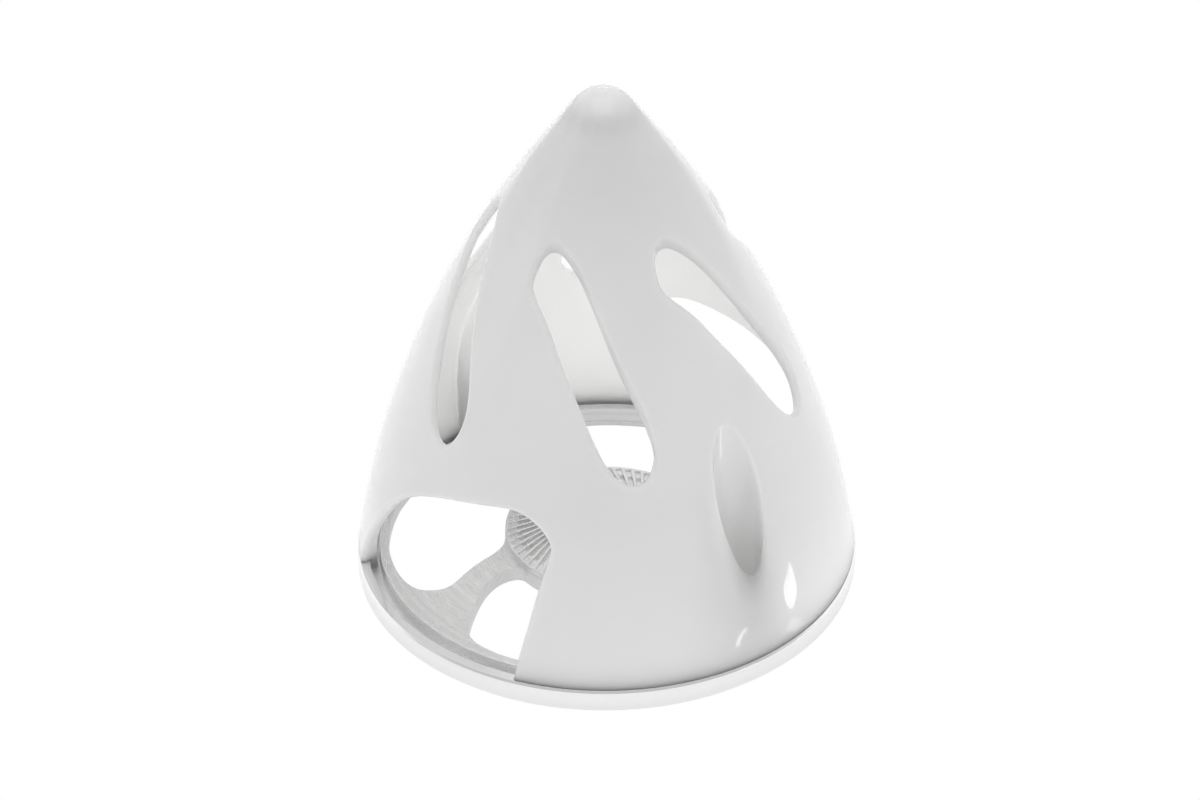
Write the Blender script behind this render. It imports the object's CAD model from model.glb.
import math

import bpy
import numpy as np
from mathutils import Matrix

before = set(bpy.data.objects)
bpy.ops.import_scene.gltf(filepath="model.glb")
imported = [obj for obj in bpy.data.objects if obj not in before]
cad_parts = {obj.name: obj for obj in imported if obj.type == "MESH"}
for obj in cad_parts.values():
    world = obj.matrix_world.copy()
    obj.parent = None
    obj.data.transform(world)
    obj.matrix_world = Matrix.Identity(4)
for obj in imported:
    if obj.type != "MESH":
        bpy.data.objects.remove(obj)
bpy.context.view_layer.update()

# ------------------------------------------------------------------ frame
MM = 0.001
PLATE_R = 31.75 * MM          # rim radius
SEAT_Z = 3.23 * MM            # the flat the cone sits on
TURN = math.radians(-40.75)   # turn from the view's own axes to the part's

scene = bpy.context.scene
scene.view_settings.view_transform = "Standard"
scene.view_settings.look = "None"


# ------------------------------------------------------------------ camera
def make_camera():
    """Pose and lens worked out from the outline of the object, for a 1200 x 800 frame."""
    f, dist, elev, roll, u0, v0 = 2730.65, 11.0, math.radians(36.762), 0.00841525, 606.483, 530.978
    c = np.array([0.0, -dist * math.cos(elev), dist * math.sin(elev)])
    fw = -c / np.linalg.norm(c)
    right = np.array([1.0, 0.0, 0.0])
    up = np.cross(right, fw)
    r0 = np.stack([right, up, fw])
    cr, sr = math.cos(roll), math.sin(roll)
    r1 = np.array([[cr, -sr, 0], [sr, cr, 0], [0, 0, 1]]) @ r0
    d = np.array([(u0 - 600) / f, -(v0 - 400) / f, 1.0])
    ax = math.atan2(d[0], 1.0)
    ry = np.array([[math.cos(ax), 0, math.sin(ax)], [0, 1, 0], [-math.sin(ax), 0, math.cos(ax)]])
    dd = np.linalg.inv(ry) @ d
    ay = math.atan2(dd[1], dd[2])
    rx = np.array([[1, 0, 0], [0, math.cos(ay), math.sin(ay)], [0, -math.sin(ay), math.cos(ay)]])
    rot = ry @ rx @ r1
    ct, st = math.cos(TURN), math.sin(TURN)
    turn = np.array([[ct, -st, 0], [st, ct, 0], [0, 0, 1]])
    place = turn @ (c * PLATE_R) + np.array([0, 0, SEAT_Z])
    axes = (turn @ rot.T)                      # columns: right, up, forward
    m = Matrix.Identity(4)
    for i in range(3):
        m[i][0], m[i][1], m[i][2] = axes[i][0], axes[i][1], -axes[i][2]
        m[i][3] = place[i]
    data = bpy.data.cameras.new("camera")
    data.sensor_fit = "HORIZONTAL"
    data.sensor_width = 36.0
    data.lens = f / 1200 * 36.0
    data.clip_start = 0.01
    data.clip_end = 20.0
    cam = bpy.data.objects.new("camera", data)
    cam.matrix_world = m
    scene.collection.objects.link(cam)
    scene.camera = cam
    return place


eye = make_camera()


# ------------------------------------------------------------------ node helpers
def new_material(name):
    mat = bpy.data.materials.new(name)
    mat.use_nodes = True
    nt = mat.node_tree
    nt.nodes.clear()
    out = nt.nodes.new("ShaderNodeOutputMaterial")
    bsdf = nt.nodes.new("ShaderNodeBsdfPrincipled")
    nt.links.new(bsdf.outputs["BSDF"], out.inputs["Surface"])
    return mat, nt, bsdf


def node(nt, kind, **values):
    n = nt.nodes.new(kind)
    for key, value in values.items():
        if key in n.inputs:
            n.inputs[key].default_value = value
        else:
            setattr(n, key, value)
    return n


def noise(nt, coord, scale, detail=3.0, rough=0.5):
    n = node(nt, "ShaderNodeTexNoise")
    n.inputs["Scale"].default_value = scale
    n.inputs["Detail"].default_value = detail
    n.inputs["Roughness"].default_value = rough
    nt.links.new(coord, n.inputs["Vector"])
    return n.outputs["Fac"]


def ramp(nt, fac, stops):
    n = node(nt, "ShaderNodeValToRGB")
    e = n.color_ramp.elements
    while len(e) > len(stops):
        e.remove(e[-1])
    while len(e) < len(stops):
        e.new(1.0)
    for el, (p, c) in zip(e, stops):
        el.position = p
        el.color = (*c, 1.0) if len(c) == 3 else c
    nt.links.new(fac, n.inputs["Fac"])
    return n.outputs["Color"]


def spread(nt, fac, low, high):
    n = node(nt, "ShaderNodeMapRange")
    n.inputs["To Min"].default_value = low
    n.inputs["To Max"].default_value = high
    nt.links.new(fac, n.inputs["Value"])
    return n.outputs["Result"]


def math_node(nt, op, a, b=None):
    n = node(nt, "ShaderNodeMath")
    n.operation = op
    for i, v in enumerate((a, b)):
        if v is None:
            continue
        if isinstance(v, (int, float)):
            n.inputs[i].default_value = v
        else:
            nt.links.new(v, n.inputs[i])
    return n.outputs[0]


def bump(nt, height, strength, distance, under=None):
    n = node(nt, "ShaderNodeBump")
    n.inputs["Strength"].default_value = strength
    n.inputs["Distance"].default_value = distance
    nt.links.new(height, n.inputs["Height"])
    if under is not None:
        nt.links.new(under, n.inputs["Normal"])
    return n.outputs["Normal"]


def soft_edges(nt, radius, varying=None):
    n = node(nt, "ShaderNodeBevel")
    n.samples = 6
    n.inputs["Radius"].default_value = radius
    if varying is not None:
        nt.links.new(varying, n.inputs["Radius"])
    return n.outputs["Normal"]


# ------------------------------------------------------------------ materials
def white_plastic():
    mat, nt, b = new_material("white_plastic")
    pos = node(nt, "ShaderNodeTexCoord").outputs["Object"]
    tone = noise(nt, pos, 45.0, 4.0)
    wall = ramp(nt, tone, [(0.3, (0.885, 0.885, 0.882)), (0.7, (0.91, 0.91, 0.908))])
    # very faint flow marks and orange peel of a polished mould
    peel = noise(nt, pos, 620.0, 2.0)
    flow = noise(nt, pos, 90.0, 5.0, 0.6)
    nt.links.new(spread(nt, flow, 0.05, 0.09), b.inputs["Roughness"])
    # the edges of the openings are soft; the edge on the backplate is crisp
    axis = node(nt, "ShaderNodeSeparateXYZ")
    nt.links.new(pos, axis.inputs[0])
    rise = node(nt, "ShaderNodeMapRange")
    rise.inputs["From Min"].default_value = 4.4 * MM
    rise.inputs["From Max"].default_value = 6.4 * MM
    rise.inputs["To Min"].default_value = 0.08 * MM
    rise.inputs["To Max"].default_value = 0.90 * MM
    nt.links.new(axis.outputs[2], rise.inputs["Value"])
    edges = soft_edges(nt, 0.90 * MM, rise.outputs["Result"])
    # the thin rounded edges are paler than the wall
    geo = node(nt, "ShaderNodeNewGeometry")
    turn = nt.nodes.new("ShaderNodeVectorMath")
    turn.operation = "DOT_PRODUCT"
    nt.links.new(geo.outputs["Normal"], turn.inputs[0])
    nt.links.new(edges, turn.inputs[1])
    thin = node(nt, "ShaderNodeMapRange")
    thin.interpolation_type = "SMOOTHSTEP"
    thin.inputs["From Min"].default_value = 0.995
    thin.inputs["From Max"].default_value = 0.90
    nt.links.new(turn.outputs["Value"], thin.inputs["Value"])
    pale = node(nt, "ShaderNodeMix")
    pale.data_type = "RGBA"
    pale.inputs[7].default_value = (0.985, 0.985, 0.983, 1.0)
    nt.links.new(thin.outputs["Result"], pale.inputs[0])
    nt.links.new(wall, pale.inputs[6])
    nt.links.new(pale.outputs[2], b.inputs["Base Color"])
    n = bump(nt, peel, 0.05, 0.02 * MM)
    n = bump(nt, flow, 0.05, 0.05 * MM, n)
    nt.links.new(n, b.inputs["Normal"])
    b.inputs["Subsurface Weight"].default_value = 1.0
    b.inputs["Subsurface Radius"].default_value = (1.0, 1.0, 0.95)
    b.inputs["Subsurface Scale"].default_value = 6.0 * MM
    b.inputs["Coat Weight"].default_value = 0.35
    b.inputs["Coat Roughness"].default_value = 0.02
    b.inputs["IOR"].default_value = 1.49
    return mat


def turned_metal():
    mat, nt, b = new_material("turned_aluminium")
    pos = node(nt, "ShaderNodeTexCoord").outputs["Object"]
    parts = node(nt, "ShaderNodeSeparateXYZ")
    nt.links.new(pos, parts.inputs[0])
    x2 = math_node(nt, "MULTIPLY", parts.outputs[0], parts.outputs[0])
    y2 = math_node(nt, "MULTIPLY", parts.outputs[1], parts.outputs[1])
    r = math_node(nt, "SQRT", math_node(nt, "ADD", x2, y2))
    # the tool's path runs outwards on the flats and up the walls
    path = math_node(nt, "ADD", r, parts.outputs[2])
    line = node(nt, "ShaderNodeCombineXYZ")
    nt.links.new(path, line.inputs[0])
    fine = noise(nt, line.outputs[0], 5200.0, 2.0, 0.6)
    broad = noise(nt, line.outputs[0], 900.0, 3.0, 0.6)
    blotch = noise(nt, pos, 140.0, 4.0, 0.6)
    dull = ramp(nt, broad, [(0.3, (0.78, 0.782, 0.785)), (0.7, (0.90, 0.902, 0.905))])
    bright = ramp(nt, broad, [(0.3, (0.90, 0.902, 0.905)), (0.7, (0.96, 0.961, 0.963))])
    rim = node(nt, "ShaderNodeMapRange")
    rim.inputs["From Min"].default_value = 29.2 * MM
    rim.inputs["From Max"].default_value = 30.6 * MM
    nt.links.new(r, rim.inputs["Value"])
    tone = node(nt, "ShaderNodeMix")
    tone.data_type = "RGBA"
    nt.links.new(rim.outputs["Result"], tone.inputs[0])
    nt.links.new(dull, tone.inputs[6])
    nt.links.new(bright, tone.inputs[7])
    nt.links.new(tone.outputs[2], b.inputs["Base Color"])
    mixed = math_node(nt, "ADD", math_node(nt, "MULTIPLY", fine, 0.5),
                      math_node(nt, "MULTIPLY", blotch, 0.5))
    satin = spread(nt, mixed, 0.18, 0.36)
    polish = math_node(nt, "MULTIPLY", rim.outputs["Result"], 0.12)
    nt.links.new(math_node(nt, "SUBTRACT", satin, polish), b.inputs["Roughness"])
    n = bump(nt, fine, 0.16, 0.02 * MM, soft_edges(nt, 0.12 * MM))
    n = bump(nt, broad, 0.10, 0.03 * MM, n)
    nt.links.new(n, b.inputs["Normal"])
    b.inputs["Metallic"].default_value = 1.0
    return mat


def screw_steel():
    mat, nt, b = new_material("screw_steel")
    pos = node(nt, "ShaderNodeTexCoord").outputs["Object"]
    grain = noise(nt, pos, 1800.0, 4.0, 0.6)
    stain = noise(nt, pos, 260.0, 4.0)
    nt.links.new(ramp(nt, stain, [(0.3, (0.36, 0.36, 0.37)), (0.7, (0.48, 0.48, 0.49))]),
                 b.inputs["Base Color"])
    nt.links.new(spread(nt, grain, 0.26, 0.46), b.inputs["Roughness"])
    nt.links.new(bump(nt, grain, 0.15, 0.02 * MM, soft_edges(nt, 0.12 * MM)), b.inputs["Normal"])
    b.inputs["Metallic"].default_value = 1.0
    return mat


def dress(name, mat):
    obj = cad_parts[name]
    for s in obj.material_slots:
        s.material = mat


dress("nose_cone", white_plastic())
dress("backplate", turned_metal())
dress("cone_screws", screw_steel())


# ------------------------------------------------------------------ studio
def floor_plane():
    size, z = 1.6, -0.00002
    mesh = bpy.data.meshes.new("floor")
    mesh.from_pydata([(-size, -size, z), (size, -size, z), (size, size, z), (-size, size, z)],
                     [], [(0, 1, 2, 3)])
    obj = bpy.data.objects.new("floor", mesh)
    scene.collection.objects.link(obj)
    mat, nt, b = new_material("pale_floor")
    pos = node(nt, "ShaderNodeTexCoord").outputs["Object"]
    nt.links.new(ramp(nt, noise(nt, pos, 3.0), [(0.3, (0.70, 0.70, 0.70)), (0.7, (0.73, 0.73, 0.73))]),
                 b.inputs["Base Color"])
    b.inputs["Roughness"].default_value = 0.85
    b.inputs["Specular IOR Level"].default_value = 0.0
    b.inputs["Emission Color"].default_value = (1, 1, 1, 1)
    b.inputs["Emission Strength"].default_value = 0.36
    # seen directly it is a plain white sheet; it lights the object like pale paper
    seen = nt.nodes.new("ShaderNodeEmission")
    seen.inputs["Strength"].default_value = 1.0
    path = nt.nodes.new("ShaderNodeLightPath")
    mix = nt.nodes.new("ShaderNodeMixShader")
    out = next(n for n in nt.nodes if n.bl_idname == "ShaderNodeOutputMaterial")
    nt.links.new(path.outputs["Is Camera Ray"], mix.inputs["Fac"])
    nt.links.new(b.outputs["BSDF"], mix.inputs[1])
    nt.links.new(seen.outputs["Emission"], mix.inputs[2])
    nt.links.new(mix.outputs[0], out.inputs["Surface"])
    mesh.materials.append(mat)


def soft_world():
    world = bpy.data.worlds.new("studio")
    scene.world = world
    world.use_nodes = True
    nt = world.node_tree
    nt.nodes.clear()
    out = nt.nodes.new("ShaderNodeOutputWorld")
    lit = nt.nodes.new("ShaderNodeBackground")
    seen = nt.nodes.new("ShaderNodeBackground")
    mix = nt.nodes.new("ShaderNodeMixShader")
    path = nt.nodes.new("ShaderNodeLightPath")
    seen.inputs["Strength"].default_value = 1.0
    seen.inputs["Color"].default_value = (1, 1, 1, 1)
    # dimmer on the side the object is looked at from, bright at the sides and behind
    coord = nt.nodes.new("ShaderNodeTexCoord")
    flat = np.array([eye[0], eye[1], 0.0])
    flat = flat / np.linalg.norm(flat)
    dot = nt.nodes.new("ShaderNodeVectorMath")
    dot.operation = "DOT_PRODUCT"
    dot.inputs[1].default_value = tuple(float(v) for v in flat)
    nt.links.new(coord.outputs["Generated"], dot.inputs[0])
    level = nt.nodes.new("ShaderNodeMapRange")
    level.interpolation_type = "SMOOTHSTEP"
    level.inputs["From Min"].default_value = -0.75
    level.inputs["From Max"].default_value = 0.80
    level.inputs["To Min"].default_value = 0.80
    level.inputs["To Max"].default_value = 0.70
    nt.links.new(dot.outputs["Value"], level.inputs["Value"])
    nt.links.new(level.outputs["Result"], lit.inputs["Strength"])
    nt.links.new(path.outputs["Is Camera Ray"], mix.inputs["Fac"])
    nt.links.new(lit.outputs[0], mix.inputs[1])
    nt.links.new(seen.outputs[0], mix.inputs[2])
    nt.links.new(mix.outputs[0], out.inputs["Surface"])


def light_patch(name, outline, level):
    """A patch of light that falls on the floor beside the object, mm in the part's frame."""
    mesh = bpy.data.meshes.new(name)
    mesh.from_pydata([(x * MM, y * MM, 0.0) for x, y in outline], [], [tuple(range(len(outline)))])
    obj = bpy.data.objects.new(name, mesh)
    scene.collection.objects.link(obj)
    mat = bpy.data.materials.new(name)
    mat.use_nodes = True
    nt = mat.node_tree
    nt.nodes.clear()
    out = nt.nodes.new("ShaderNodeOutputMaterial")
    glow = nt.nodes.new("ShaderNodeEmission")
    pos = nt.nodes.new("ShaderNodeTexCoord").outputs["Object"]
    nt.links.new(spread(nt, noise(nt, pos, 260.0), 0.9 * level, 1.1 * level), glow.inputs["Strength"])
    nt.links.new(glow.outputs["Emission"], out.inputs["Surface"])
    mesh.materials.append(mat)


def softbox(name, azimuth, elevation, distance, width, height, power, mirrored=True):
    """Azimuth is measured from the viewing direction, to the right of the object."""
    data = bpy.data.lights.new(name, "AREA")
    data.shape = "RECTANGLE"
    data.size = width
    data.size_y = height
    data.energy = power
    obj = bpy.data.objects.new(name, data)
    base = math.atan2(eye[1], eye[0])
    a = base + math.radians(azimuth)
    e = math.radians(elevation)
    spot = np.array([math.cos(a) * math.cos(e), math.sin(a) * math.cos(e), math.sin(e)]) * distance
    target = np.array([0, 0, 0.03])
    z = spot / np.linalg.norm(spot)
    x = np.cross([0, 0, 1.0], z)
    x /= np.linalg.norm(x)
    y = np.cross(z, x)
    m = Matrix.Identity(4)
    for i in range(3):
        m[i][0], m[i][1], m[i][2], m[i][3] = x[i], y[i], z[i], (spot + target)[i]
    obj.matrix_world = m
    obj.visible_glossy = mirrored
    scene.collection.objects.link(obj)


floor_plane()
soft_world()
light_patch("patch_1", [(33.9, -55.7), (27.6, -54.2), (21.9, -51.7), (17.6, -47.1), (14.9, -42.3),
                        (17.6, -42.5), (21.7, -44.1), (27.6, -49.2)], 4.2)
light_patch("patch_2", [(-1.9, -45.7), (-0.5, -48.6), (2.0, -50.9), (4.9, -51.0), (2.9, -49.9),
                        (0.9, -48.0), (-0.9, -45.4)], 5.0)
light_patch("patch_3", [(9.1, -39.5), (12.0, -40.5), (13.4, -38.2), (12.2, -36.4), (9.6, -37.0)], 2.2)
softbox("right_box", 80.0, 25.0, 0.55, 0.22, 0.50, 0.04)
softbox("left_box", -82.0, 25.0, 0.60, 0.22, 0.50, 0.10)
softbox("back_box", 180.0, 18.0, 0.60, 0.50, 0.40, 1.80, mirrored=False)
softbox("top_box", 0.0, 84.0, 0.60, 0.60, 0.60, 0.90)
